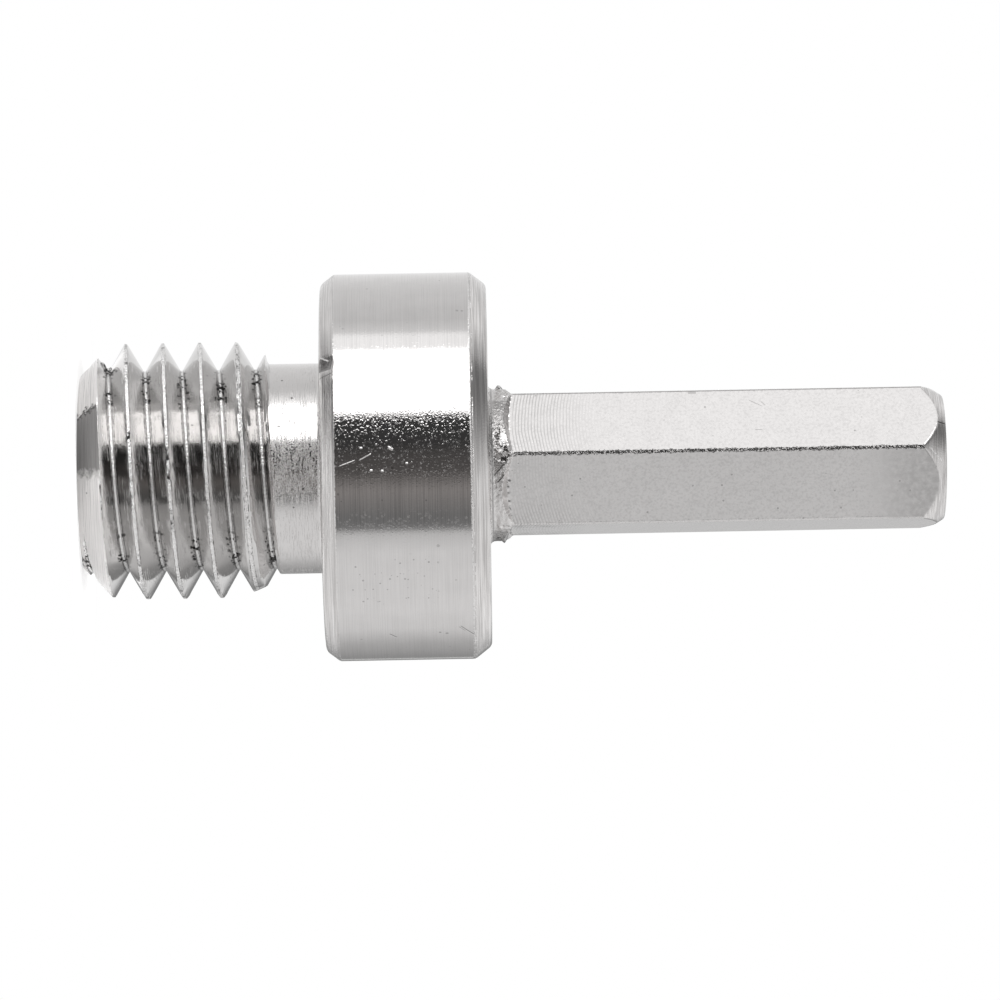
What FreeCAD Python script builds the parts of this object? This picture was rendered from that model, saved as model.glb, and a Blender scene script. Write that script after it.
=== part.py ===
import FreeCAD, Part
import math
import os
import Sketcher

# Adapter that drives a threaded core bit from a drill chuck, turned and milled from one steel bar.
# It stands on its threaded end: the origin is the centre of that face, and +Z runs up to the shank.
# All sizes are in millimetres and degrees.

SIZES = {
    # External thread, a coarse metric one with a 60 degree form
    "thread_major_d": 13.9,
    "thread_pitch": 2.0,
    "thread_half_angle": 30.0,
    "crest_flat": 0.135,
    "root_flat": 0.11,
    "thread_length": 10.42,
    "groove_start": 0.59,
    "groove_overrun": 0.55,
    "end_face_d": 10.5,
    "lead_angle": 45.0,
    "runout_angle": 22.0,
    "runout_share": 0.4,
    # Plain neck between the thread and the collar
    "neck_d": 11.4,
    "neck_length": 2.66,
    "neck_corner_size": 0.22,
    # Collar that the core bit seats against
    "collar_d": 21.0,
    "collar_width": 8.98,
    "front_chamfer_length": 0.74,
    "front_chamfer_depth": 0.56,
    "rear_chamfer_length": 0.9,
    "rear_chamfer_depth": 0.7,
    # Hexagon shank
    "shank_length": 24.64,
    "hex_flats": 7.2,
    "corner_relief": 0.03,
    "stub_length": 0.95,
    "stub_corner_size": 0.3,
    "cutter_r": 8.0,
    "cutter_taper": 25.0,
    "cutter_clear": 0.1,
    "tip_inset": 0.25,
    "tip_half_angle": 32.0,
}

SIDES = 6
FULL_TURN = 360
HALF_SIDE_ANGLE = FULL_TURN / SIDES / 2

# Heights along the axis
COLLAR_START = "(sizes.thread_length + sizes.neck_length)"
COLLAR_END = f"({COLLAR_START} + sizes.collar_width)"
TOTAL = f"({COLLAR_END} + sizes.shank_length)"

# Radii
MAJOR_R = "(sizes.thread_major_d / 2)"
END_FACE_R = "(sizes.end_face_d / 2)"
NECK_R = "(sizes.neck_d / 2)"
COLLAR_R = "(sizes.collar_d / 2)"
FLAT_R = "(sizes.hex_flats / 2)"
BAR_R = f"({FLAT_R} / cos({HALF_SIDE_ANGLE}) - sizes.corner_relief)"
TIP_R = f"({FLAT_R} - sizes.tip_inset)"


def make_sheet(doc):
    sheet = doc.addObject("Spreadsheet::Sheet", "sizes")
    for row, (alias, size) in enumerate(SIZES.items(), start=1):
        sheet.set(f"A{row}", alias)
        sheet.set(f"B{row}", str(size))
        sheet.setAlias(f"B{row}", alias)
    doc.recompute()
    return sheet


def make_sketch(body, name, role, height=None):
    plane = next(item for item in body.Origin.OriginFeatures if item.Role == role)
    sketch = body.newObject("Sketcher::SketchObject", name)
    sketch.AttachmentSupport = [(plane, "")]
    sketch.MapMode = "FlatFace"
    if height:
        sketch.setExpression("AttachmentOffset.Base.z", height)
    return sketch


def bind(sketch, constraint, expression):
    """Add one measured constraint, whose last value follows the sheet."""
    size = float(sketch.evalExpression(expression))
    index = sketch.addConstraint(Sketcher.Constraint(*constraint, size))
    sketch.setExpression(f"Constraints[{index}]", expression)


def draw_outline(sketch, corners):
    """Draw a closed outline of straight lines, each corner held at its across and up sizes."""
    points = []
    for across, up in corners:
        points.append(
            FreeCAD.Vector(
                float(sketch.evalExpression(across)),
                float(sketch.evalExpression(up)),
                0,
            )
        )
    count = len(points)
    for index in range(count):
        sketch.addGeometry(Part.LineSegment(points[index], points[(index + 1) % count]))
    for index in range(count):
        sketch.addConstraint(
            Sketcher.Constraint("Coincident", index, 2, (index + 1) % count, 1)
        )
    for index, (across, up) in enumerate(corners):
        bind(sketch, ("DistanceX", -1, 1, index, 1), across)
        bind(sketch, ("DistanceY", -1, 1, index, 1), up)


def turned_bar(body):
    """Turn the bar: thread blank, neck, collar and round shank with its coned tip."""
    lead = f"(({MAJOR_R} - {END_FACE_R}) / tan(sizes.lead_angle))"
    step = f"(sizes.runout_share * ({MAJOR_R} - {NECK_R}))"
    runout = f"(({MAJOR_R} - {NECK_R} - {step}) / tan(sizes.runout_angle))"
    cone = f"(({BAR_R} - {TIP_R}) / tan(sizes.tip_half_angle))"
    sketch = make_sketch(body, "turned_outline", "XZ_Plane")
    draw_outline(
        sketch,
        [
            ("0", "0"),
            (END_FACE_R, "0"),
            (MAJOR_R, lead),
            (MAJOR_R, f"sizes.thread_length - {runout}"),
            (f"{NECK_R} + {step}", "sizes.thread_length"),
            (NECK_R, "sizes.thread_length"),
            (NECK_R, COLLAR_START),
            (f"{COLLAR_R} - sizes.front_chamfer_depth", COLLAR_START),
            (COLLAR_R, f"{COLLAR_START} + sizes.front_chamfer_length"),
            (COLLAR_R, f"{COLLAR_END} - sizes.rear_chamfer_length"),
            (f"{COLLAR_R} - sizes.rear_chamfer_depth", COLLAR_END),
            (BAR_R, COLLAR_END),
            (BAR_R, f"{TOTAL} - {cone}"),
            (TIP_R, TOTAL),
            ("0", TOTAL),
        ],
    )
    bar = body.newObject("PartDesign::Revolution", "turned_bar")
    bar.Profile = sketch
    bar.ReferenceAxis = (sketch, ["V_Axis"])
    bar.Angle = FULL_TURN
    body.Document.recompute()
    return bar


def inside_corner(body, name, size, corner_r, corner_z):
    """Fill the inside corner where a shaft meets a face of the collar, as the tool's nose leaves it."""
    base = body.Tip
    ring_r = float(base.evalExpression(corner_r))
    ring_z = float(base.evalExpression(corner_z))
    rings = []
    for number, edge in enumerate(base.Shape.Edges, start=1):
        circle = edge.Curve
        if not isinstance(circle, Part.Circle):
            continue
        if abs(circle.Radius - ring_r) < 1e-4 and abs(circle.Center.z - ring_z) < 1e-4:
            rings.append(f"Edge{number}")
    corner = body.newObject("PartDesign::Chamfer", name)
    corner.Base = (base, rings)
    corner.setExpression("Size", size)
    body.Document.recompute()
    return corner


def hexagon(body):
    """Mill six flats, each a slot whose round end runs out beside the collar."""
    run_out = f"({COLLAR_END} + sizes.stub_length)"
    centre_z = f"({run_out} + sizes.cutter_r)"
    sketch = make_sketch(body, "flat_outline", "XZ_Plane", FLAT_R)
    radius = float(sketch.evalExpression("sizes.cutter_r"))
    middle = float(sketch.evalExpression(centre_z))
    end = float(sketch.evalExpression(TOTAL)) + radius
    centre = FreeCAD.Vector(0, middle, 0)
    left = FreeCAD.Vector(-radius, middle, 0)
    right = FreeCAD.Vector(radius, middle, 0)
    top_right = FreeCAD.Vector(radius, end, 0)
    top_left = FreeCAD.Vector(-radius, end, 0)
    circle = Part.Circle(centre, FreeCAD.Vector(0, 0, 1), radius)
    arc = sketch.addGeometry(Part.ArcOfCircle(circle, math.pi, 2 * math.pi))
    right_side = sketch.addGeometry(Part.LineSegment(right, top_right))
    top_side = sketch.addGeometry(Part.LineSegment(top_right, top_left))
    left_side = sketch.addGeometry(Part.LineSegment(top_left, left))
    sketch.addConstraint(
        [
            Sketcher.Constraint("Tangent", arc, 2, right_side, 1),
            Sketcher.Constraint("Coincident", right_side, 2, top_side, 1),
            Sketcher.Constraint("Coincident", top_side, 2, left_side, 1),
            Sketcher.Constraint("Tangent", left_side, 2, arc, 1),
            Sketcher.Constraint("Vertical", right_side),
            Sketcher.Constraint("Horizontal", top_side),
            Sketcher.Constraint("PointOnObject", arc, 3, -2),
        ]
    )
    bind(sketch, ("Radius", arc), "sizes.cutter_r")
    bind(sketch, ("DistanceY", -1, 1, arc, 3), centre_z)
    bind(sketch, ("DistanceY", -1, 1, top_side, 1), f"{TOTAL} + sizes.cutter_r")

    flat = body.newObject("PartDesign::Pocket", "first_flat")
    flat.Profile = sketch
    flat.Reversed = True
    flat.setExpression("Length", f"{BAR_R} - {FLAT_R} + sizes.cutter_clear")
    flat.setExpression("TaperAngle", "sizes.cutter_taper")
    body.Document.recompute()

    flats = body.newObject("PartDesign::PolarPattern", "six_flats")
    flats.Originals = [flat]
    flats.Axis = (next(i for i in body.Origin.OriginFeatures if i.Role == "Z_Axis"), [""])
    flats.Angle = FULL_TURN
    flats.Occurrences = SIDES
    body.Tip = flats
    body.Document.recompute()
    return flats


def thread(body):
    """Cut the screw thread: one pointed groove led round the blank and out past the neck."""
    slope = "tan(sizes.thread_half_angle)"
    depth = f"((sizes.thread_pitch - sizes.crest_flat - sizes.root_flat) / (2 * {slope}))"
    clear = "(sizes.crest_flat / 3)"
    root_r = f"({MAJOR_R} - {depth})"
    outer_r = f"({MAJOR_R} + {clear})"
    start = "(sizes.groove_start - sizes.thread_pitch)"
    half_root = "(sizes.root_flat / 2)"
    half_mouth = f"({half_root} + ({depth} + {clear}) * {slope})"
    sketch = make_sketch(body, "groove_outline", "XZ_Plane")
    draw_outline(
        sketch,
        [
            (root_r, f"{start} - {half_root}"),
            (outer_r, f"{start} - {half_mouth}"),
            (outer_r, f"{start} + {half_mouth}"),
            (root_r, f"{start} + {half_root}"),
        ],
    )
    groove = body.newObject("PartDesign::SubtractiveHelix", "thread_groove")
    groove.Profile = sketch
    groove.ReferenceAxis = (sketch, ["V_Axis"])
    groove.Mode = "pitch-height-angle"
    groove.setExpression("Pitch", "sizes.thread_pitch")
    groove.setExpression("Height", f"sizes.thread_length + sizes.groove_overrun - {start}")
    groove.LeftHanded = False
    body.Document.recompute()
    return groove


def adapter_body(doc):
    body = doc.addObject("PartDesign::Body", "adapter_body")
    body.Label = "adapter_body"
    body.Placement = FreeCAD.Placement()
    turned_bar(body)
    inside_corner(body, "neck_corner", "sizes.neck_corner_size", NECK_R, COLLAR_START)
    inside_corner(body, "stub_corner", "sizes.stub_corner_size", BAR_R, COLLAR_END)
    hexagon(body)
    thread(body)
    return body


def check(doc, pieces):
    for item in doc.Objects:
        if "Invalid" in item.State or "Error" in item.State:
            raise RuntimeError(f"{item.Label} did not build: {item.State}")
    for piece in pieces:
        if piece.Shape.isNull() or not piece.Shape.isValid():
            raise RuntimeError(f"{piece.Label} has no valid solid")


def main():
    doc = FreeCAD.newDocument("core_bit_adapter")
    make_sheet(doc)
    pieces = [adapter_body(doc)]
    doc.recompute()
    check(doc, pieces)
    os.makedirs("parts", exist_ok=True)
    for piece in pieces:
        piece.Shape.exportStep(f"parts/{piece.Label}.step")
        print(piece.Label, round(piece.Shape.Volume, 2), "mm3")


main()
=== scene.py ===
import math

import bmesh
import bpy
from mathutils import Matrix, Vector, noise


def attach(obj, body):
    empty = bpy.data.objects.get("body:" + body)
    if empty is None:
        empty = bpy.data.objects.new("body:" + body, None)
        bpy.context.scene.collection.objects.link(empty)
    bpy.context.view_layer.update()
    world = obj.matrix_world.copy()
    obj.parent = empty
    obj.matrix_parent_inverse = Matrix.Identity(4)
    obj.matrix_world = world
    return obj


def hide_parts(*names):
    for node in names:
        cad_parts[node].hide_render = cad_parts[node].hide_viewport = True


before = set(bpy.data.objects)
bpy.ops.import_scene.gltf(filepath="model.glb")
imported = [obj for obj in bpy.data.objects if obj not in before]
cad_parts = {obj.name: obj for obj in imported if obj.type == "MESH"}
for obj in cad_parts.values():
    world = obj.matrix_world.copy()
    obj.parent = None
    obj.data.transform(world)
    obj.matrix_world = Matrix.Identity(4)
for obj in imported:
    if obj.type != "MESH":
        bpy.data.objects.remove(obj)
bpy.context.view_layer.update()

# Everything is drawn in millimetres along the turning axis and then brought to metres.
# The origin is the centre of the threaded end's face, and +Z runs up to the shank.
MM = 0.001
TURN = 2 * math.pi
# Columns of faces round the axis
COLUMNS = 360
# Points nearer than this are one point
CLOSE = 1e-4
# Edges sharper than this are shaded as edges
SHARP = math.radians(28)

# Thread
MAJOR_R = 6.95
PITCH = 2.0
HALF_ANGLE = math.radians(30)
CREST_FLAT = 0.135
ROOT_FLAT = 0.11
THREAD_DEPTH = (PITCH - CREST_FLAT - ROOT_FLAT) / 2 / math.tan(HALF_ANGLE)
ROOT_R = MAJOR_R - THREAD_DEPTH
END_FACE_R = 5.25
LEAD_TOP = 1.8
# Height of the first groove at angle 0, and the height from which the groove gets shallower
GROOVE_START = 0.59
GROOVE_LIFT = 10.55
GROOVE_LIFT_SLOPE = 0.8
# The outside tapers from this height, and the thread's end slants by this much to either side
TAPER_START = 8.4
TAPER_SLOPE = 0.4
THREAD_LENGTH = 10.42
END_SLANT = 0.26
# Neck and collar
NECK_R = 5.7
NECK_CORNER = 0.25
# Height at which the mesh of the thread is joined to the rest
NECK_JOIN = 11.25
COLLAR_START = 13.08
COLLAR_END = 22.06
COLLAR_R = 10.493
FRONT_CHAMFER_DEPTH = 0.56
FRONT_CHAMFER_LENGTH = 0.74
REAR_CHAMFER_DEPTH = 0.7
REAR_CHAMFER_LENGTH = 0.9
FRONT_RIM = COLLAR_START + FRONT_CHAMFER_LENGTH
REAR_RIM = COLLAR_END - REAR_CHAMFER_LENGTH
# How far the rounding of each corner reaches
FRONT_CORNER = 0.24
REAR_CORNER = 0.22
RIM_CORNER = 0.09
# Shank
SIDES = 6
SIXTH = TURN / SIDES
FIRST_FLAT = SIXTH / 2
HEX_FLAT_R = 3.6
HEX_EDGE_R = 4.108
BAR_R = 4.127
STUB_CORNER = 0.35
STUB_TOP = 23.4
FINE_ROWS_TOP = 23.75
RUN_OUT_TAPER = math.radians(25)
TOTAL = 46.699
TIP_R = 3.35
TIP_HALF_ANGLE = math.radians(32)
# A flat's run-out: its lowest height, and the radius of its arc. The photograph shows two of them.
RUN_OUTS = {3: (23.14, 10.5), 4: (22.98, 5.5)}
PLAIN_RUN_OUT = (23.06, 8.0)

# Where things point: the photographed side, and what is up in the photograph
TOWARDS_CAMERA = math.radians(248)
PICTURE_UP = math.radians(158)


def direction(angle):
    return Vector((math.cos(angle), math.sin(angle), 0))


def point_at(radius, angle, height):
    return (radius * math.cos(angle), radius * math.sin(angle), height)


def angle_of(point):
    """Angle of a point round the axis, from 0 to a whole turn."""
    return math.atan2(point.y, point.x) % TURN


def short_way(angle):
    """The same angle, between minus and plus half a turn."""
    return (angle + math.pi) % TURN - math.pi


def wobble(point, size, seed):
    """Smooth noise between -1 and 1, whose bumps are about size millimetres across."""
    return noise.noise(Vector(point) / size + Vector((seed, 2 * seed, 3 * seed)))


def eased(low, high, value):
    """0 at low, 1 at high, eased between."""
    share = min(1, max(0, (value - low) / (high - low)))
    return share * share * (3 - 2 * share)


def lump(height, angle, radius, at_height, at_degrees, reach_along, reach_round):
    """1 at a spot of the surface, falling to 0 at its reach along the axis and round it."""
    along = (height - at_height) / reach_along
    round_it = short_way(angle - math.radians(at_degrees)) * radius / reach_round
    return max(0, 1 - along * along - round_it * round_it)


def turn_profile(bm, points, rise=0.0):
    """Lead a profile of radii and heights once round the axis, rising as a screw does."""
    profile = [bm.verts.new((radius, 0, height)) for radius, height in points]
    edges = [bm.edges.new(pair) for pair in zip(profile, profile[1:])]
    bmesh.ops.spin(
        bm,
        geom=profile + edges,
        cent=(0, 0, 0),
        axis=(0, 0, 1),
        dvec=(0, 0, rise / COLUMNS),
        angle=TURN,
        steps=COLUMNS,
        use_merge=rise == 0,
        use_duplicate=False,
    )


def border(bm, low, high):
    """The open edges between two heights."""
    return [
        edge
        for edge in bm.edges
        if edge.is_boundary and all(low < vert.co.z < high for vert in edge.verts)
    ]


def put_in_scene(name, bm):
    mesh = bpy.data.meshes.new(name)
    bm.to_mesh(mesh)
    bm.free()
    piece = bpy.data.objects.new(name, mesh)
    bpy.context.scene.collection.objects.link(piece)
    return piece


# Thread

def groove_centre(height, angle):
    """Height of the nearest groove's centre at this angle."""
    first = GROOVE_START + PITCH * angle / TURN
    return first + PITCH * round((height - first) / PITCH)


def thread_point(height, angle):
    """Radius of the thread at this place, and how far it lies from the groove's centre."""
    spot = point_at(MAJOR_R, angle, height)
    centre = groove_centre(height, angle)
    from_root = abs(height - centre)
    wander = 0.035 * wobble(spot, 0.9, 2) + 0.02 * wobble(spot, 0.3, 4)
    from_root += wander * eased(0.74, 0.9, from_root)
    across = max(0, from_root - ROOT_FLAT / 2)
    lift = GROOVE_LIFT_SLOPE * max(0, centre - GROOVE_LIFT)
    cut = ROOT_R + lift + across / math.tan(HALF_ANGLE)
    crest = MAJOR_R + 0.035 * wobble(spot, 0.4, 3) + 0.025 * wobble(spot, 0.17, 5) - 0.015
    lead = END_FACE_R + max(0, height) + 0.03 * wobble(spot, 0.35, 9) * eased(0.9, 1.5, height)
    # The thread ends in a shallow taper and then a step, which slants as the last turn runs out
    towards_top = math.cos(angle - PICTURE_UP)
    end = THREAD_LENGTH - END_SLANT * towards_top
    steepness = 2.5 + 1.5 * towards_top
    step = NECK_R + max(0, end - height) * steepness
    taper = MAJOR_R - TAPER_SLOPE * max(0, height - TAPER_START) + 0.02 * wobble(spot, 0.4, 11)
    radius = min(cut, crest, lead, step, max(taper, NECK_R))
    # Torn metal where the first turn starts, and a chip in the end's edge
    torn_and_burr_shadow = lump(height, angle, MAJOR_R, 1.4, 165, 0.3, 0.6)
    chipped = lump(height, angle, END_FACE_R, 0.15, 314, 0.45, 0.7)
    radius -= 0.5 * chipped * (0.6 + wobble(spot, 0.25, 13))
    radius += 0.4 * torn_and_burr_shadow * (0.5 + wobble(spot, 0.2, 15))
    if height > end + 0.2:
        radius = min(radius, NECK_R)
    return radius, from_root


def thread_rows():
    """Heights of one groove's rows from its centre, with rows on the root's and the crest's edges."""
    flank_rows = 9
    low = ROOT_FLAT / 2
    high = (PITCH - CREST_FLAT) / 2
    rows = [low + (high - low) * step / (flank_rows + 1) for step in range(flank_rows + 2)]
    return [-height for height in reversed(rows)] + rows


def make_thread(bm):
    """Screw one profile round the axis for a turn, trim both ends and shape its grooves."""
    spare = 0.3
    heights = []
    for turn in range(-2, 7):
        for row in thread_rows():
            height = GROOVE_START + turn * PITCH + row
            if -PITCH - spare < height < NECK_JOIN + spare:
                heights.append(height)
    turn_profile(bm, [(MAJOR_R, height) for height in heights], PITCH)
    bmesh.ops.remove_doubles(bm, verts=bm.verts, dist=CLOSE)
    for height, outer in ((0.0, False), (NECK_JOIN, True)):
        bmesh.ops.bisect_plane(
            bm,
            geom=bm.verts[:] + bm.edges[:] + bm.faces[:],
            plane_co=(0, 0, height),
            plane_no=(0, 0, 1),
            clear_outer=outer,
            clear_inner=not outer,
        )
    groove = bm.verts.layers.float.new("from_root")
    for vert in bm.verts:
        angle = angle_of(vert.co)
        radius, vert[groove] = thread_point(vert.co.z, angle)
        vert.co = point_at(radius, angle, vert.co.z)
    bmesh.ops.holes_fill(bm, edges=border(bm, -CLOSE, CLOSE), sides=0)


# Turned and milled body

def between(start, end, share):
    return tuple(a + (b - a) * share for a, b in zip(start, end))


def run(start, end, steps, margin=0.03):
    """Points after start and up to end, the first and last ones a small margin from the ends."""
    margin /= math.dist(start, end)
    shares = [margin + (1 - 2 * margin) * step / (steps - 1) for step in range(steps)]
    return [between(start, end, share) for share in shares] + [end]


def bend(before, corner, after, reach, steps):
    """Points of a smooth bend, from reach before the corner to reach after it."""
    start = between(corner, before, reach / math.dist(corner, before))
    end = between(corner, after, reach / math.dist(corner, after))
    points = []
    for step in range(steps + 1):
        share = step / steps
        points.append(between(between(start, corner, share), between(corner, end, share), share))
    return points


def body_profile():
    """Radius and height of every ring from the neck to the shank's end."""
    front_r = COLLAR_R - FRONT_CHAMFER_DEPTH
    rear_r = COLLAR_R - REAR_CHAMFER_DEPTH
    cone_start = TOTAL - (BAR_R - TIP_R) / math.tan(TIP_HALF_ANGLE)
    shank_start = (BAR_R, FINE_ROWS_TOP)
    # Corner, reach and steps of its bend, and steps of the straight run that follows
    corners = [
        ((NECK_R, COLLAR_START), NECK_CORNER, 5, 3),
        ((front_r, COLLAR_START), FRONT_CORNER, 4, 4),
        ((COLLAR_R, FRONT_RIM), RIM_CORNER, 3, 8),
        ((COLLAR_R, REAR_RIM), RIM_CORNER, 3, 6),
        ((rear_r, COLLAR_END), REAR_CORNER, 4, 4),
        ((BAR_R, COLLAR_END), STUB_CORNER, 5, 28),
    ]
    ends = [corner[0] for corner in corners] + [shank_start]
    points = [(NECK_R, NECK_JOIN + 0.05)]
    steps = 5
    for index, (corner, reach, bend_steps, run_steps) in enumerate(corners):
        turn = bend(points[-1], corner, ends[index + 1], reach, bend_steps)
        points += run(points[-1], turn[0], steps) + turn[1:]
        steps = run_steps
    points += run(points[-1], shank_start, steps)
    points += run(points[-1], (BAR_R, cone_start), 14)
    # The edge of the end face is a little rounded
    points += run(points[-1], (TIP_R + 0.03, TOTAL - 0.05), 16)
    points += run(points[-1], (TIP_R - 0.04, TOTAL), 2, 0.01)
    return points


def nearest_flat(angle):
    """Number of the nearest flat, and the angle from its middle."""
    side = round((angle - FIRST_FLAT) / SIXTH) % SIDES
    return side, short_way(angle - FIRST_FLAT - side * SIXTH)


def hex_radius(away):
    """Radius of the hexagon at this angle from the middle of its flat, its edges turned round."""
    return min(HEX_FLAT_R / math.cos(away), HEX_EDGE_R)


def shank_radius(height, angle, turned):
    """Radius left by the milling cutter, which ran out in a tapered arc beside the collar."""
    side, away = nearest_flat(angle)
    start, cutter = RUN_OUTS.get(side, PLAIN_RUN_OUT)
    across = HEX_FLAT_R * math.tan(away)
    wall = start + cutter - math.sqrt(cutter ** 2 - across ** 2)
    over = max(0, wall - height) / math.tan(RUN_OUT_TAPER)
    return min(turned, hex_radius(away) + over / math.cos(away))


def crowd_to_edges(angle, share):
    """Move the columns so that one runs along each border of the hexagon's narrow edges."""
    away = nearest_flat(angle)[1]
    half = SIXTH / 2
    edge_half = half - math.acos(HEX_FLAT_R / HEX_EDGE_R)
    columns = COLUMNS / SIDES / 2
    edge_columns = 2
    crowding = 1.25
    off = (1 - abs(away) / half) * columns
    if off <= edge_columns:
        off = edge_half * off / edge_columns
    else:
        spread = (off - edge_columns) / (columns - edge_columns)
        off = edge_half + (half - edge_half) * spread ** crowding
    moved = math.copysign(half - off, away)
    return angle + (moved - away) * share


def shank_burr(height, angle):
    """Metal that the cutter pushed up where the flats run out."""
    spot = point_at(BAR_R, angle, height)
    away = nearest_flat(angle)[1]
    near_edge = eased(math.radians(14), math.radians(30), abs(away))
    band = eased(22.35, 22.6, height) * (1 - eased(23.05, 23.3, height))
    burr = near_edge * band * (0.05 + 0.09 * wobble(spot, 0.25, 21))
    burr += 0.2 * lump(height, angle, BAR_R, 22.66, 160, 0.2, 0.9)
    burr += 0.16 * lump(height, angle, BAR_R, 22.95, 334, 0.25, 0.8)
    return burr + 0.03 * band * wobble(spot, 0.15, 23)


def rim_wear(height, angle):
    """Small unevenness of the collar's chamfer edges, and the nick in its front one."""
    spot = point_at(COLLAR_R, angle, height)
    wear = 0.12 * lump(height, angle, COLLAR_R, COLLAR_START + 0.35, 216, 0.5, 0.5)
    for rim, depth in ((FRONT_RIM, 0.012), (REAR_RIM, 0.02)):
        if abs(height - rim) < 0.03:
            wear += depth * (1 + wobble(spot, 0.4, 31))
    return wear


def make_body(bm):
    """Turn the body's profile round the axis, mill the shank and close its tip."""
    turn_profile(bm, body_profile())
    for vert in bm.verts:
        height = vert.co.z
        angle = angle_of(vert.co)
        radius = math.hypot(vert.co.x, vert.co.y)
        if height > COLLAR_END + STUB_CORNER + 0.01:
            angle = crowd_to_edges(angle, eased(22.5, 22.9, height))
            radius = shank_radius(height, angle, radius) + shank_burr(height, angle)
        elif height > COLLAR_START - 0.01:
            radius -= rim_wear(height, angle)
        vert.co = point_at(radius, angle, height)
    bmesh.ops.holes_fill(bm, edges=border(bm, TOTAL - CLOSE, TOTAL + CLOSE), sides=0)


def adapter_mesh():
    """The thread and the body, bridged at the neck."""
    thread = bmesh.new()
    make_thread(thread)
    body = bmesh.new()
    make_body(body)
    part = bpy.data.meshes.new("thread_part")
    thread.to_mesh(part)
    body.from_mesh(part)
    thread.free()
    bpy.data.meshes.remove(part)
    bmesh.ops.bridge_loops(body, edges=border(body, NECK_JOIN - 0.01, NECK_JOIN + 0.06))
    bmesh.ops.dissolve_degenerate(body, dist=CLOSE, edges=body.edges)
    bmesh.ops.recalc_face_normals(body, faces=body.faces)
    return body


def finish_of(face):
    """Which finish a face has, by where it is and which way it points."""
    centre = face.calc_center_median()
    radius = math.hypot(centre.x, centre.y)
    height = centre.z
    least_slope = 0.2
    sloped = abs(face.normal.z) > least_slope
    on_neck = height > THREAD_LENGTH - 0.1 and abs(radius - NECK_R) < 0.01
    if height < THREAD_LENGTH + 0.5 and not on_neck:
        on_lead = height < 0.01 or (height < LEAD_TOP and abs(radius - END_FACE_R - height) < 0.04)
        return "lead" if on_lead else "thread"
    if height < COLLAR_START - NECK_CORNER / 2:
        return "neck"
    if height < COLLAR_END + 0.02:
        return "chamfers" if sloped else "barrel"
    if height < STUB_TOP and radius > BAR_R - 0.03:
        return "stub"
    return "chamfers" if sloped else "flats"


def make_adapter():
    bm = adapter_mesh()
    finishes = list(FINISH_MAKERS)
    for face in bm.faces:
        face.smooth = True
        face.material_index = finishes.index(finish_of(face))
    for edge in bm.edges:
        edge.smooth = edge.is_manifold and edge.calc_face_angle(0) < SHARP
    bmesh.ops.scale(bm, vec=(MM, MM, MM), verts=bm.verts)
    adapter = put_in_scene("adapter", bm)
    for make_finish in FINISH_MAKERS.values():
        adapter.data.materials.append(make_finish())
    return adapter


# Materials

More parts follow.
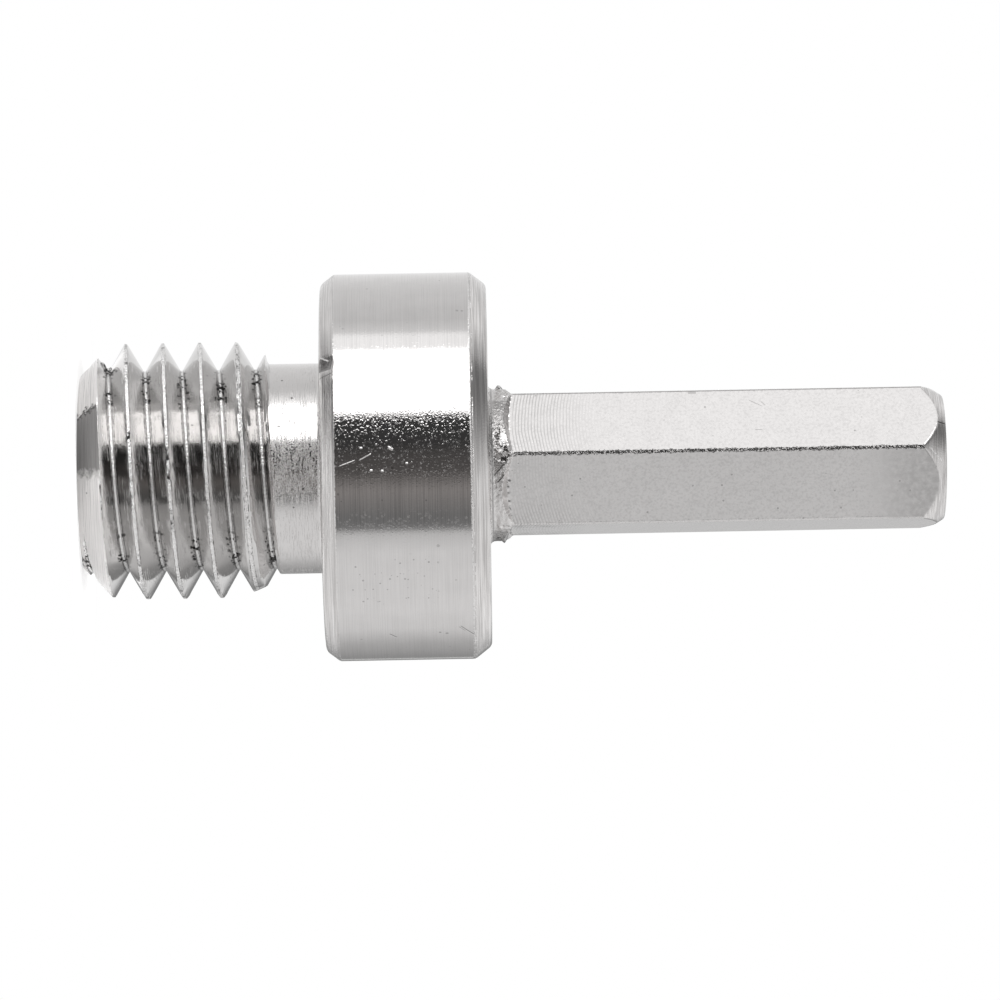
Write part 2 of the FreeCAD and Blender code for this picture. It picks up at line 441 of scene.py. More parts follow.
class Nodes:
    """Short ways to add and join the nodes of one material or world."""

    def __init__(self, tree):
        self.tree = tree
        tree.nodes.clear()

    def add(self, kind, **settings):
        node = self.tree.nodes.new(kind)
        for name, value in settings.items():
            setattr(node, name, value)
        return node

    def feed(self, socket, value):
        if isinstance(value, bpy.types.NodeSocket):
            self.tree.links.new(value, socket)
        else:
            socket.default_value = value

    def math(self, operation, *values):
        node = self.add("ShaderNodeMath", operation=operation)
        for socket, value in zip(node.inputs, values):
            self.feed(socket, value)
        return node.outputs[0]

    def times(self, *values):
        result = values[0]
        for value in values[1:]:
            result = self.math("MULTIPLY", result, value)
        return result

    def plus(self, *values):
        result = values[0]
        for value in values[1:]:
            result = self.math("ADD", result, value)
        return result

    def minus(self, value, taken):
        return self.math("SUBTRACT", value, taken)

    def absolute(self, value):
        return self.math("ABSOLUTE", value)

    def below(self, value, limit):
        """1 where value is less than limit, 0 elsewhere."""
        return self.math("LESS_THAN", value, limit)

    def wrap(self, value, span):
        """The value less whole spans, between minus and plus half a span."""
        return self.math("WRAP", value, span / 2, -span / 2)

    def range(self, value, low, high, to_low=0.0, to_high=1.0, smooth=False):
        """From to_low to to_high as value goes from low to high, and no further."""
        node = self.add("ShaderNodeMapRange")
        if smooth:
            node.interpolation_type = "SMOOTHSTEP"
        for name, given in (
            ("Value", value),
            ("From Min", low),
            ("From Max", high),
            ("To Min", to_low),
            ("To Max", to_high),
        ):
            self.feed(node.inputs[name], given)
        return node.outputs[0]

    def fall(self, value, low, high):
        """1 up to low and 0 from high on, eased between."""
        return self.range(value, low, high, 1.0, 0.0, True)

    def peak(self, value, at, reach):
        """1 where value is at, 0 at reach or further from it."""
        return self.fall(self.absolute(self.minus(value, at)), 0.0, reach)

    def vector(self, x, y, z):
        node = self.add("ShaderNodeCombineXYZ")
        for socket, value in zip(node.inputs, (x, y, z)):
            self.feed(socket, value)
        return node.outputs[0]

    def split(self, vector):
        node = self.add("ShaderNodeSeparateXYZ")
        self.feed(node.inputs[0], vector)
        return node.outputs

    def noise(self, vector, scale, detail=2.0, roughness=0.5):
        node = self.add("ShaderNodeTexNoise")
        for name, value in (
            ("Vector", vector),
            ("Scale", scale),
            ("Detail", detail),
            ("Roughness", roughness),
        ):
            self.feed(node.inputs[name], value)
        return node.outputs["Fac"]

    def dots(self, vector, size, spacing, share):
        """Round dots of about this size, one in each cell of a share of the cells."""
        node = self.add("ShaderNodeTexVoronoi")
        self.feed(node.inputs["Vector"], vector)
        self.feed(node.inputs["Scale"], 1 / spacing)
        split = self.add("ShaderNodeSeparateColor")
        self.feed(split.inputs[0], node.outputs["Color"])
        reach = self.times(split.outputs[1], size / spacing)
        there = self.math("GREATER_THAN", split.outputs[0], 1 - share)
        return self.times(there, self.below(node.outputs["Distance"], reach))

    def colour(self, share, low, high):
        """A colour that goes from low to high with share."""
        node = self.add("ShaderNodeMix", data_type="RGBA")
        self.feed(node.inputs[0], share)
        for socket, value in ((node.inputs[6], low), (node.inputs[7], high)):
            self.feed(socket, value if isinstance(value, bpy.types.NodeSocket) else (*value, 1))
        return node.outputs[2]

    def bump(self, height, depth, normal=None):
        """Relief, with height 0 to 1 standing for depth in millimetres."""
        node = self.add("ShaderNodeBump")
        self.feed(node.inputs["Height"], height)
        self.feed(node.inputs["Distance"], depth * MM)
        if normal is not None:
            self.feed(node.inputs["Normal"], normal)
        return node.outputs[0]

    def mix(self, share, first, second):
        """Light that goes from the first shader to the second with share."""
        node = self.add("ShaderNodeMixShader")
        for socket, value in zip(node.inputs, (share, first, second)):
            self.feed(socket, value)
        return node.outputs[0]

    def show(self, shader, output="ShaderNodeOutputMaterial"):
        self.feed(self.add(output).inputs["Surface"], shader)


def new_material(name):
    """A material, and the short ways to fill it."""
    material = bpy.data.materials.new(name)
    material.use_nodes = True
    return material, Nodes(material.node_tree)


class Surface:
    """One plated finish: its place on the adapter, and what has been laid on it so far."""

    BRIGHT = (0.80, 0.783, 0.777)
    WHITE = (0.96, 0.95, 0.945)
    DARK = (0.02, 0.018, 0.017)

    def __init__(self, name):
        self.material, self.nodes = new_material(name)
        nodes = self.nodes
        scaled = nodes.add("ShaderNodeVectorMath", operation="SCALE")
        nodes.feed(scaled.inputs[0], nodes.add("ShaderNodeTexCoord").outputs["Object"])
        nodes.feed(scaled.inputs["Scale"], 1 / MM)
        self.place = scaled.outputs[0]
        x, y, self.height = nodes.split(self.place)
        self.radius = nodes.math("SQRT", nodes.plus(nodes.times(x, x), nodes.times(y, y)))
        self.angle = nodes.math("ARCTAN2", y, x)
        self.round_x = nodes.math("DIVIDE", x, self.radius)
        self.round_y = nodes.math("DIVIDE", y, self.radius)
        self.normal = None
        self.dark = None
        self.light = None
        self.rough = None

    def relief(self, height, depth):
        self.normal = self.nodes.bump(height, depth, self.normal)

    def darken(self, *parts):
        """Darken by the product of the parts, where nothing has darkened more."""
        mask = self.nodes.times(*parts)
        self.dark = mask if self.dark is None else self.nodes.math("MAXIMUM", self.dark, mask)

    def brighten(self, *parts):
        """Brighten by the product of the parts, where nothing has brightened more."""
        mask = self.nodes.times(*parts)
        self.light = mask if self.light is None else self.nodes.math("MAXIMUM", self.light, mask)

    def roughen(self, *parts):
        """Add the product of the parts to the roughness."""
        amount = self.nodes.times(*parts)
        self.rough = amount if self.rough is None else self.nodes.plus(self.rough, amount)

    def rings(self, spacing, wander=2.0, detail=3.0):
        """Turning lines: streaks that run round the axis, spacing apart along the profile."""
        nodes = self.nodes
        # Height weighs more than radius, so that their sum changes along every chamfer too
        weight = 1.7
        along = nodes.plus(self.radius, nodes.times(self.height, weight))
        vector = nodes.vector(
            nodes.math("DIVIDE", along, spacing),
            nodes.times(self.round_x, wander),
            nodes.times(self.round_y, wander),
        )
        return nodes.noise(vector, 1.0, detail, 0.6)

    def grain(self, size, detail=2.0):
        """Plating grain from 0 to 1, its bumps about size across."""
        return self.nodes.noise(self.place, 1 / size, detail, 0.55)

    def uneven(self, size, detail=2.0):
        """Grain with 0 as its middle."""
        return self.nodes.minus(self.grain(size, detail), 0.5)

    def gloss(self, low, high, size=0.085):
        """Roughness between low and high, uneven as the plating's finest grain."""
        self.roughen(self.nodes.range(self.grain(size), 0.3, 0.7, low, high))

    def specks(self, size, spacing, share, *parts):
        """Dark dots of about this size in a share of the cells, made fainter by the parts."""
        self.darken(self.nodes.dots(self.place, size, spacing, share), *parts)

    def away(self, degrees):
        """Angle from this many degrees round the axis, the short way."""
        return self.nodes.wrap(self.nodes.minus(self.angle, math.radians(degrees)), TURN)

    def side(self, degrees, reach):
        """1 at this many degrees round the axis, 0 at reach degrees or further from it."""
        return self.nodes.peak(self.away(degrees), 0.0, math.radians(reach))

    def beside(self, height, degrees, radius, lean):
        """Distances from a spot, along a line that leans from the axis and across that line."""
        nodes = self.nodes
        along = nodes.minus(self.height, height)
        across = nodes.times(self.away(degrees), radius)
        turn = math.radians(lean)
        run = nodes.plus(nodes.times(along, math.cos(turn)), nodes.times(across, math.sin(turn)))
        side = nodes.minus(nodes.times(across, math.cos(turn)), nodes.times(along, math.sin(turn)))
        return nodes.absolute(run), nodes.absolute(side)

    def mark(self, height, degrees, length, width, lean, radius):
        """A scratch: 1 along its middle, 0 beside it."""
        run, side = self.beside(height, degrees, radius, lean)
        ends = self.nodes.fall(run, length * 0.35, length * 0.5)
        return self.nodes.times(ends, self.nodes.fall(side, 0.0, width * 0.5))

    def marks(self, *places, radius):
        """Scratches, each by its height, degrees, length, width and lean."""
        return self.nodes.plus(*[self.mark(*place, radius) for place in places])

    def patch(self, height, degrees, length, width, lean, radius):
        """A small area with a clear rim: 1 inside, 0 outside."""
        run, side = self.beside(height, degrees, radius, lean)
        ends = self.nodes.fall(run, length * 0.45, length * 0.5)
        return self.nodes.times(ends, self.nodes.fall(side, width * 0.4, width * 0.5))

    def finish(self, colour=BRIGHT):
        """The material, with a slow change of tone over the whole adapter."""
        nodes = self.nodes
        duller = [part * 0.95 for part in colour]
        brighter = [min(1, part * 1.05) for part in colour]
        tone = nodes.colour(nodes.noise(self.place, 0.9), duller, brighter)
        if self.light is not None:
            tone = nodes.colour(self.light, tone, self.WHITE)
        if self.dark is not None:
            tone = nodes.colour(self.dark, tone, self.DARK)
        shader = nodes.add("ShaderNodeBsdfPrincipled")
        for name, value in (
            ("Base Color", tone),
            ("Metallic", 1.0),
            ("Roughness", self.rough),
            ("Normal", self.normal),
        ):
            nodes.feed(shader.inputs[name], value)
        nodes.show(shader.outputs["BSDF"])
        return self.material


def tear_out(surface, patch):
    """Ragged dark hollows where metal has come away."""
    ragged = surface.nodes.range(surface.grain(0.28, 4.0), 0.46, 0.52)
    surface.darken(patch, ragged, 0.95)


def chip_end(surface):
    """The chip in the edge of the threaded end's face."""
    tear_out(surface, surface.patch(0.2, 316, 0.6, 1.0, 0, END_FACE_R))


def thread_finish():
    surface = Surface("plated_thread")
    nodes = surface.nodes
    from_root = nodes.add("ShaderNodeAttribute", attribute_name="from_root").outputs["Fac"]
    proud = nodes.range(surface.radius, 5.8, 5.95)
    crest = nodes.times(nodes.range(from_root, 0.91, 0.93, smooth=True), proud)
    root = nodes.fall(from_root, 0.05, 0.075)
    coarse = surface.grain(0.12, 3.0)
    # Lines that the tool left along the flanks, deeper here and there
    along = nodes.vector(
        nodes.times(from_root, 26.0),
        nodes.times(surface.round_x, 3.0),
        nodes.times(surface.round_y, 3.0),
    )
    streaks = nodes.range(nodes.noise(along, 1.4, 3.0), 0.58, 0.70)
    streaked = nodes.range(nodes.noise(surface.place, 0.7), 0.48, 0.58)
    surface.relief(nodes.noise(along, 1.0, 4.0, 0.65), 0.0022)
    surface.relief(surface.grain(0.07, 1.0), 0.002)
    surface.relief(nodes.times(streaks, streaked), 0.008)
    surface.relief(nodes.times(nodes.minus(coarse, 0.5), nodes.plus(crest, root)), 0.08)
    # Pits where the tool tore the groove's bottom
    where = nodes.range(nodes.plus(surface.side(188, 30), surface.side(305, 26)), 0.05, 0.3)
    patchy = nodes.range(nodes.noise(surface.place, 0.6), 0.36, 0.44)
    surface.specks(0.17, 0.26, 0.9, nodes.fall(from_root, 0.14, 0.22), patchy, where)
    tear_out(surface, surface.patch(1.42, 165.5, 0.55, 1.5, 0, 6.2))
    chip_end(surface)
    surface.specks(0.07, 0.6, 0.2, 0.7)
    # Broken lines of painted shade beside the crests, under their burrs, and beside the roots
    surface.darken(nodes.peak(from_root, 0.90, 0.035), proud, nodes.range(coarse, 0.48, 0.56), 0.9)
    surface.darken(nodes.peak(from_root, 0.085, 0.03), nodes.range(coarse, 0.36, 0.5), 0.75)
    # Frayed edge where the first turn starts on the end's chamfer
    inside = nodes.minus(nodes.plus(surface.height, END_FACE_R), surface.radius)
    below_turn = nodes.range(surface.height, 1.75, 1.85, 1.0, 0.0)
    frayed = nodes.times(nodes.peak(inside, 0.04, 0.07), below_turn)
    surface.brighten(frayed, nodes.range(coarse, 0.44, 0.5))
    surface.darken(frayed, nodes.range(coarse, 0.44, 0.38), 0.95)
    # Painted highlights along the crests and the roots
    surface.brighten(nodes.plus(crest, nodes.times(root, 0.6)))
    surface.gloss(0.03, 0.06)
    surface.roughen(nodes.plus(crest, frayed), 0.22)
    # The plating's colour is darkened here as painted shade, a shaded copy of the one plating
    return surface.finish((0.665, 0.656, 0.65))


def lead_finish():
    """The chamfer at the thread's start, plainly turned, with a painted dark reflection and the end
    face beside it.
    """
    surface = Surface("plated_lead")
    nodes = surface.nodes
    lines = surface.rings(0.1, 1.6, 4.0)
    surface.relief(lines, 0.02)
    surface.roughen(nodes.range(lines, 0.3, 0.7, 0.1, 0.22))
    # The painted dark reflection runs from 212 to about 250 degrees, and its first border is a painted
    # black line
    from_start = nodes.plus(surface.away(212), nodes.times(surface.uneven(0.3, 3.0), 0.25))
    painted_dark_reflection = nodes.times(
        nodes.range(from_start, 0.0, math.radians(2)),
        nodes.range(from_start, math.radians(34), math.radians(40), 1.0, 0.0),
    )
    surface.darken(painted_dark_reflection, nodes.range(lines, 0.3, 0.7, 0.58, 0.76))
    painted_reflection_border = nodes.peak(from_start, math.radians(2.5), math.radians(3.5))
    surface.darken(painted_reflection_border, nodes.range(surface.grain(0.12, 3.0), 0.40, 0.47), 0.98)
    surface.darken(nodes.range(lines, 0.5, 0.62), 0.25)
    chip_end(surface)
    surface.specks(0.08, 0.5, 0.2, 0.6)
    # The plating's colour is darkened here as painted shade, a shaded copy of the one plating
    return surface.finish((0.70, 0.685, 0.678))


def chamfer_finish():
    """The collar's two chamfers and faces and the tip, all with clear turning lines."""
    surface = Surface("plated_chamfers")
    nodes = surface.nodes
    lines = surface.rings(0.1, 1.6, 4.0)
    fine = surface.rings(0.06, 2.5, 2.0)
    surface.relief(lines, 0.02)
    surface.relief(surface.grain(0.09), 0.006)
    surface.roughen(nodes.range(lines, 0.3, 0.7, 0.08, 0.2))
    surface.darken(nodes.range(surface.rings(0.16, 1.2, 4.0), 0.5, 0.6), 0.25)
    surface.darken(nodes.range(fine, 0.5, 0.62), 0.3)
    surface.brighten(nodes.range(fine, 0.44, 0.36), 0.45)
    # The nick in the front chamfer, with a bright scratch across it and a dark line beside it
    nick = surface.patch(COLLAR_START + 0.36, 215.6, 0.8, 0.95, 8, COLLAR_R)
    scratch = surface.mark(COLLAR_START + 0.30, 213.6, 0.8, 0.10, 42, COLLAR_R)
    line = surface.mark(COLLAR_START + 0.36, 219.8, 0.9, 0.10, -6, COLLAR_R)
    surface.relief(nodes.times(surface.uneven(0.3), nick), 0.08)
    surface.relief(scratch, 0.02)
    unscratched = nodes.range(scratch, 0.1, 0.4, 1.0, 0.0)
    surface.darken(nodes.plus(nodes.times(nick, 0.66), nodes.times(line, 0.6)), unscratched)
    surface.brighten(scratch)
    # A scratch on the tip's cone, and a dark line on another side of it
    tip_scratch = surface.mark(46.1, 246, 1.25, 0.17, 48, 3.9)
    surface.brighten(tip_scratch)
    surface.roughen(tip_scratch, 0.6)
    surface.darken(surface.mark(46.38, 216.4, 0.62, 0.14, 0, 3.6), 0.9)
    # The plating's colour is darkened here as painted shade, a shaded copy of the one plating
    return surface.finish((0.72, 0.702, 0.695))


def neck_finish():
    surface = Surface("plated_neck")
    nodes = surface.nodes
    surface.relief(surface.rings(0.07, 3.5, 4.0), 0.005)
    surface.relief(surface.grain(0.06), 0.005)
    surface.relief(nodes.range(surface.rings(0.09, 7.0), 0.54, 0.66), 0.008)
    surface.specks(0.08, 0.5, 0.2, 0.7)
    surface.gloss(0.04, 0.08)
    # The plating is grainy on one side
    grainy = nodes.range(surface.side(249, 21), 0.0, 0.35)
    surface.roughen(nodes.range(surface.grain(0.09, 1.0), 0.52, 0.55), grainy, 0.6)
    surface.roughen(nodes.range(surface.rings(0.07, 14.0, 2.0), 0.55, 0.59), grainy, 0.5)
    return surface.finish()


def barrel_finish():
    surface = Surface("plated_barrel")
    nodes = surface.nodes
    surface.relief(surface.rings(0.14, 3.0, 4.0), 0.003)
    # The plating is grainy on one side and smooth elsewhere
    grainy = nodes.range(surface.side(241, 17.5), 0.0, 0.6, 0.2, 1.0)
    surface.relief(nodes.times(surface.grain(0.07, 1.0), grainy), 0.004)
    surface.relief(nodes.times(nodes.range(surface.grain(0.10, 0.0), 0.62, 0.80), grainy), 0.005)
    surface.gloss(0.035, 0.07)
    surface.roughen(nodes.dots(surface.place, 0.10, 0.13, 0.5), surface.side(263, 6), 0.16)
    surface.roughen(nodes.dots(surface.place, 0.11, 0.14, 0.45), grainy, 0.14)
    # Scratches and dents on the grainy side, and scrapes further round
    faint = surface.mark(14.55, 247, 1.0, 0.05, -20, COLLAR_R)
    clear = surface.marks(
        (15.50, 245.3, 0.78, 0.06, -28),
        (16.85, 243.0, 0.30, 0.20, 30),
        (16.40, 249.4, 0.16, 0.14, 0),
        (15.82, 249.2, 0.16, 0.12, 0),
        (15.30, 242.7, 0.16, 0.12, 0),
        (17.70, 247.3, 0.14, 0.12, 0),
        radius=COLLAR_R,
    )
    scratches = nodes.plus(nodes.times(faint, 0.5), clear)
    scrapes = surface.marks(
        (16.77, 307.7, 0.60, 0.12, 45),
        (20.77, 305.6, 1.40, 0.11, 51),
        (20.45, 304.4, 0.60, 0.06, 51),
        radius=COLLAR_R,
    )
    surface.relief(scratches, 0.02)
    surface.roughen(scratches, 0.4)
    surface.relief(scrapes, -0.02)
    surface.darken(scrapes, 0.45)
    # Specks all round, more of them in one patch, and fine turning lines
    patchy = nodes.range(nodes.noise(surface.place, 0.35), 0.45, 0.6, 0.15, 1.0)
    surface.specks(0.09, 0.42, 0.3, patchy, 0.35)
    surface.specks(0.065, 0.2, 0.5, surface.patch(16.9, 284, 5.0, 3.4, 0, COLLAR_R), 0.35)
    lined = nodes.range(surface.side(258, 11), 0.0, 0.5, 0.07, 0.2)
    surface.darken(nodes.range(surface.rings(0.06, 2.0, 2.0), 0.45, 0.6), lined)
    # Both rims are worn bright, and knocked on one side
    rear = nodes.peak(surface.height, REAR_RIM, 0.16)
    front = nodes.peak(surface.height, FRONT_RIM, 0.09)
    rims = nodes.plus(rear, nodes.times(front, 0.6))
    ragged = nodes.range(surface.grain(0.16, 3.0), 0.42, 0.5)
    knocked = nodes.range(surface.side(249, 20), 0.05, 0.3)
    surface.relief(nodes.times(surface.uneven(0.12, 3.0), rims), 0.12)
    surface.brighten(rims, 0.7)
    surface.roughen(rims, 0.12)
    surface.roughen(rims, ragged, knocked, 0.9)
    return surface.finish()


def stub_finish():
    """The short turned length beside the collar, torn where the flats' milling ended."""
    surface = Surface("plated_stub")
    nodes = surface.nodes
    surface.relief(surface.uneven(0.22, 4.0), 0.075)
    surface.relief(surface.grain(0.09), 0.012)
    surface.gloss(0.12, 0.25, 0.1)
    # Ragged dark spots, by their height, degrees, length and width
    ragged = nodes.range(surface.grain(0.2, 4.0), 0.47, 0.53)
    for spot in (
        (22.52, 223.0, 0.36, 1.4),
        (22.92, 240.5, 0.5, 1.1),
        (22.66, 327.0, 0.8, 1.4),
        (22.80, 165.0, 0.7, 0.8),
    ):
        surface.darken(surface.patch(*spot, 0, BAR_R), ragged, 0.92)
    # Two dark cuts with a bright one between them, and a bright spot
    for height, degrees in ((22.58, 252), (22.78, 257)):
        surface.darken(surface.mark(height, degrees, 1.0, 0.13, -48, BAR_R), 0.9)
    surface.brighten(surface.mark(22.68, 254.5, 0.9, 0.2, -48, BAR_R))
    surface.brighten(surface.patch(22.85, 227, 0.30, 1.0, 12, BAR_R))
    # Darker areas, and a painted shadow line along the fillet at the foot
    surface.darken(surface.patch(22.7, 207, 0.9, 2.6, 0, BAR_R), 0.38)
    surface.darken(surface.patch(22.55, 236, 0.5, 2.2, 0, BAR_R), 0.3)
    surface.darken(surface.patch(22.6, 320, 0.9, 2.0, 0, BAR_R), 0.3)
    surface.darken(nodes.peak(surface.height, 22.22, 0.09), 0.55)
    # The plating's colour is a little darkened here as painted shade, a shaded copy of the one plating
    return surface.finish((0.78, 0.764, 0.757))


# The cutter's strokes on the flats: how far apart they are, and the radius of their arcs
STROKE = 0.171
STROKE_R = 10.0


def flats_finish():
    surface = Surface("plated_flats")
    nodes = surface.nodes
    away = nodes.wrap(nodes.minus(surface.angle, FIRST_FLAT), SIXTH)
    across = nodes.times(surface.radius, nodes.math("SINE", away))
    # The flat turned towards the camera was milled off centre and smoother than the others
    facing = nodes.below(nodes.absolute(surface.away(270)), SIXTH / 2)
    offset = 1.3
    off_centre = nodes.plus(across, nodes.times(facing, offset))
    bow = nodes.math("SQRT", nodes.minus(STROKE_R ** 2, nodes.times(off_centre, off_centre)))
    unsteady = nodes.times(nodes.noise(surface.place, 0.7, 3.0), 0.10)
    along = nodes.plus(surface.height, bow, unsteady)
    stroke = nodes.math("SINE", nodes.times(along, TURN / STROKE))
    smoother = nodes.times(facing, nodes.range(across, 0.5, 1.8, 0.36, 0.75, True))
    share = nodes.math("MAXIMUM", nodes.minus(1.0, facing), smoother)
    depth = nodes.plus(
        nodes.range(surface.height, 24.6, 28.4, 0.9, 0.0, True),
        nodes.range(surface.height, 26.0, 42.0, 0.16, 0.05),
    )
    patchy = nodes.range(nodes.noise(surface.place, 1.5, 3.0), 0.35, 0.6, 0.6, 1.0)
    clear = nodes.times(depth, share, patchy, nodes.range(surface.height, 23.2, 23.4))
    surface.relief(nodes.times(stroke, clear), 0.0032)
    surface.relief(surface.grain(0.085), 0.0016)
    surface.darken(nodes.range(stroke, 0.0, 1.0), clear, 0.36)
    # The narrow land between two flats is rough, and beside it lies a ragged painted shadow of its
    # burr
    off_edge = nodes.minus(SIXTH / 2, nodes.absolute(away))
    burr_shadow_reach = nodes.range(surface.grain(0.16, 4.0), 0.4, 0.62, math.radians(0.9), math.radians(2.1))
    land = nodes.below(off_edge, math.radians(1.16))
    torn_and_burr_shadow = nodes.math("MAXIMUM", nodes.minus(nodes.below(off_edge, burr_shadow_reach), land), 0.0)
    burr_shadow_strength = nodes.range(surface.side(240, 10), 0.0, 0.3, 0.25, 0.7)
    surface.darken(torn_and_burr_shadow, burr_shadow_strength, nodes.range(surface.grain(0.13), 0.40, 0.48))
    surface.relief(nodes.times(surface.uneven(0.1, 3.0), land), 0.018)
    surface.roughen(nodes.range(surface.grain(0.11), 0.56, 0.6), land, 0.5)
    # The land at the top of the photograph is dark on its near half
    near_half = nodes.below(away, 0.0)
    surface.darken(land, surface.side(181, 5), near_half, 0.6)
    # Scratches, a notch, specks and a faint mottling
    scratches = nodes.plus(
        surface.marks((36.5, 193.1, 0.95, 0.06, 31), (36.9, 193.4, 0.4, 0.05, 50), radius=3.75),
        surface.mark(36.6, 221.5, 0.45, 0.06, 0, 3.7),
    )
    surface.relief(scratches, -0.0004)
    surface.darken(scratches, 0.6)
    surface.darken(surface.patch(33.1, 181.6, 0.45, 0.24, 0, 4.0), 0.35)
    surface.specks(0.07, 0.5, 0.3, 0.4)
    surface.darken(nodes.range(surface.grain(0.14, 4.0), 0.45, 0.65), 0.13)
    # The facing flat is darkened in a mottled way towards the tip, as painted shade
    painted_shade_to_tip = nodes.times(nodes.range(surface.height, 41.0, 45.8, smooth=True), facing)
    surface.darken(nodes.range(surface.grain(0.3, 4.0), 0.3, 0.6, 0.12, 0.3), painted_shade_to_tip)
    surface.gloss(0.035, 0.065)
    return surface.finish()


FINISH_MAKERS = {
    "thread": thread_finish,
    "lead": lead_finish,
    "chamfers": chamfer_finish,
    "neck": neck_finish,
    "barrel": barrel_finish,
    "stub": stub_finish,
    "flats": flats_finish,
}


# Studio

# The tent's radius in metres, and the floor's in millimetres like the adapter's sizes
TENT_R = 1.5
FLOOR_R = 12.5
# Light of the brightest panel, and the warm tint of the dark bands round the camera
STUDIO_LEVEL = 2.9
WARM = (1.0, 0.945, 0.92)
WARM_FROM = -14
WARM_TO = 10
# Brightness of the studio round the adapter, by degrees up from the camera in the photograph
STUDIO_BANDS = [
    (-180, 0.22),
    (-167, 0.26),
    (-166, 0.60),
    (-163, 0.60),
    (-162, 0.28),
    (-153, 0.31),
    (-130, 0.46),
    (-112, 0.69),
    (-95, 0.75),
    (-52, 0.71),
    (-44, 0.62),
    (-39, 0.54),
    (-37, 0.20),
    (-30, 0.17),
    (-14, 0.26),
    (-7, 0.16),
    (-4, 0.085),
    (8, 0.07),
    (12, 0.04),
    (31, 0.045),
    (33.5, STUDIO_LEVEL),
    (72, STUDIO_LEVEL),
    (73.3, 1.06),
    (84, 1.03),
    (87, 0.73),
    (97, 0.61),
    (140, 0.72),
    (180, 0.90),
]
# The same beyond both ends of the adapter, where one dark gap lies between table and lamps
END_BANDS = [
    (-180, 0.80),
    (-60, 0.78),
    (-4, 0.62),
    (3, 0.50),
    (11, 0.32),
    (18, 0.20),
    (31, 0.17),
    (36, 0.42),
    (60, 0.72),
    (180, 0.85),
]


def band_ramp(nodes, x, y, bands, tint=(1, 1, 1)):
    """Colour of the bands in the direction x, y, tinted round the camera."""
    ramp = nodes.add("ShaderNodeValToRGB")
    stops = ramp.color_ramp.elements
    stops.remove(stops[-1])
    for index, (degrees, level) in enumerate(bands):
        place = (degrees + 180) / 360
        stop = stops[0] if index == 0 else stops.new(place)
        stop.position = place
        shade = tint if WARM_FROM <= degrees < WARM_TO else (1, 1, 1)
        stop.color = (*(level / STUDIO_LEVEL * part for part in shade), 1)
    angle = nodes.math("ARCTAN2", y, x)
    nodes.feed(ramp.inputs["Fac"], nodes.range(angle, -math.pi, math.pi))
    return ramp.outputs["Color"]


def studio_material():
    """The cards' light. X points at the camera, Y up in the picture, Z to the thread's end."""
    material, nodes = new_material("studio_cards")
    unit = nodes.add("ShaderNodeVectorMath", operation="NORMALIZE")
    nodes.feed(unit.inputs[0], nodes.add("ShaderNodeTexCoord").outputs["Object"])
    x, y, z = nodes.split(unit.outputs[0])
    endwise = nodes.absolute(z)
    bands = band_ramp(nodes, x, y, STUDIO_BANDS, WARM)
    # Beyond the ends the bands lean towards the camera
    lean = 1.23
    leaning = nodes.plus(x, nodes.times(endwise, lean))
    ends = band_ramp(nodes, leaning, y, END_BANDS)
    light = nodes.add("ShaderNodeEmission")
    nodes.feed(light.inputs["Color"], nodes.colour(nodes.range(endwise, 0.18, 0.4), bands, ends))
    shank_end = nodes.range(z, -0.6, -0.35, 1.25 * STUDIO_LEVEL, STUDIO_LEVEL)
    thread_end = nodes.range(z, 0.35, 0.6, 1.0, 1.18)
    nodes.feed(light.inputs["Strength"], nodes.times(shank_end, thread_end))
    nodes.show(light.outputs[0])
    return material


def make_studio():
    """A round tent of cards, seen only in the metal."""
    bm = bmesh.new()
    bmesh.ops.create_icosphere(bm, subdivisions=5, radius=TENT_R)
    tent = put_in_scene("studio_tent", bm)
    tent.data.materials.append(studio_material())
    outward = direction(TOWARDS_CAMERA)
    upward = direction(PICTURE_UP)
    tent.matrix_world = Matrix((outward, upward, outward.cross(upward))).transposed().to_4x4()
    tent.visible_camera = False
    tent.visible_diffuse = False
    tent.visible_shadow = False


def white_when_seen(nodes, plain, white):
    """A shader that shows white to the camera, to gloss and to transmission, and plain to the rest."""
    path = nodes.add("ShaderNodeLightPath")
    seen = nodes.plus(
        path.outputs["Is Camera Ray"],
        path.outputs["Is Glossy Ray"],
        path.outputs["Is Transmission Ray"],
    )
    return nodes.mix(nodes.math("MINIMUM", seen, 1.0), plain, white)


def make_world():
    world = bpy.data.worlds.new("studio_world")
    bpy.context.scene.world = world
    world.use_nodes = True
    nodes = Nodes(world.node_tree)
    plain = nodes.add("ShaderNodeBackground")
    nodes.feed(plain.inputs["Strength"], 0.45)
    white = nodes.add("ShaderNodeBackground")
    nodes.feed(white.inputs["Color"], (1, 1, 1, 1))
    nodes.feed(white.inputs["Strength"], 1.0)
    nodes.show(white_when_seen(nodes, plain.outputs[0], white.outputs[0]), "ShaderNodeOutputWorld")


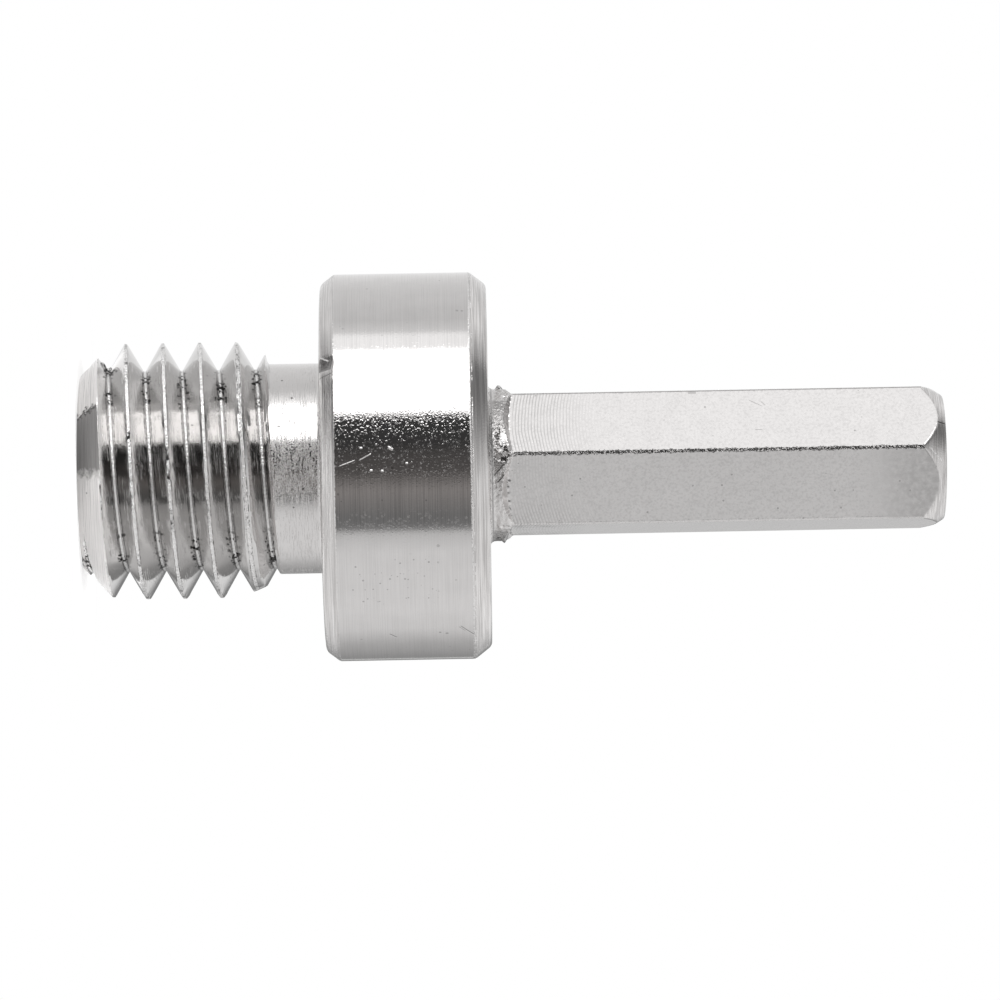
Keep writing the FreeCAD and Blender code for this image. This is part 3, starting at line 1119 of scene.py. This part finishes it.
def make_floor():
    """A small white stand. Its rim is as white as the backdrop, and it keeps the shadow."""
    bm = bmesh.new()
    bmesh.ops.create_circle(bm, cap_ends=True, segments=96, radius=FLOOR_R * MM)
    floor = put_in_scene("floor", bm)
    material, nodes = new_material("floor_white")
    length = nodes.add("ShaderNodeVectorMath", operation="LENGTH")
    nodes.feed(length.inputs[0], nodes.add("ShaderNodeTexCoord").outputs["Object"])
    radius = nodes.times(length.outputs["Value"], 1 / MM)
    # It glows more from the adapter outwards, so that a painted contact shadow lies round it, and its
    # rim is plain white
    matt = nodes.add("ShaderNodeBsdfDiffuse")
    nodes.feed(matt.inputs["Color"], (0.8, 0.8, 0.8, 1))
    glow_and_painted_shadow = nodes.add("ShaderNodeEmission")
    nodes.feed(glow_and_painted_shadow.inputs["Strength"], nodes.range(radius, 5.5, 8.5, 0.3, 0.6))
    both = nodes.add("ShaderNodeAddShader")
    nodes.feed(both.inputs[0], matt.outputs[0])
    nodes.feed(both.inputs[1], glow_and_painted_shadow.outputs[0])
    white = nodes.add("ShaderNodeEmission")
    to_rim = nodes.range(radius, 8.0, 11.5, smooth=True)
    rim = nodes.mix(to_rim, both.outputs[0], white.outputs[0])
    nodes.show(white_when_seen(nodes, matt.outputs[0], rim))
    floor.data.materials.append(material)


def make_lamp(name, place, size, power):
    """A round soft lamp that points at the origin and leaves no spot of light in the metal."""
    lamp = bpy.data.lights.new(name, "AREA")
    lamp.shape = "DISK"
    lamp.size = size
    lamp.energy = power
    holder = bpy.data.objects.new(name, lamp)
    bpy.context.scene.collection.objects.link(holder)
    holder.location = place
    holder.rotation_euler = (-place).to_track_quat("-Z", "Y").to_euler()
    holder.visible_glossy = False


def make_camera():
    """A long lens square to the axis, turned so that the axis lies across the picture."""
    distance = 0.347
    centre_height = 22.66 * MM
    axis_above_centre = 1.9 * MM
    tilt = math.radians(1.04)
    yaw = math.radians(0.3)
    towards = (direction(TOWARDS_CAMERA) - Vector((0, 0, 1)) * math.sin(yaw)).normalized()
    right = direction(PICTURE_UP).cross(towards).normalized()
    up = towards.cross(right).normalized()
    picture_right = right * math.cos(tilt) - up * math.sin(tilt)
    picture_up = up * math.cos(tilt) + right * math.sin(tilt)
    data = bpy.data.cameras.new("camera")
    data.lens = 230
    data.sensor_width = 36
    data.clip_start = 0.01
    camera = bpy.data.objects.new("camera", data)
    bpy.context.scene.collection.objects.link(camera)
    turn = Matrix((picture_right, picture_up, towards)).transposed().to_4x4()
    place = Vector((0, 0, centre_height)) + towards * distance - picture_up * axis_above_centre
    camera.matrix_world = Matrix.Translation(place) @ turn
    bpy.context.scene.camera = camera


make_camera()
make_world()
make_studio()
make_floor()
lamp_height = Vector((0, 0, 0.3))
lamp_side = direction(PICTURE_UP) * 0.7
make_lamp("lamp_over", Vector((0, 0, 0.9)), size=0.7, power=3.0)
make_lamp("lamp_upper", lamp_height + lamp_side, size=0.4, power=5.0)
make_lamp("lamp_lower", lamp_height - lamp_side, size=0.4, power=5.0)
adapter = make_adapter()
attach(adapter, "root")
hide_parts("adapter_body")

bpy.context.scene.view_settings.view_transform = "Standard"
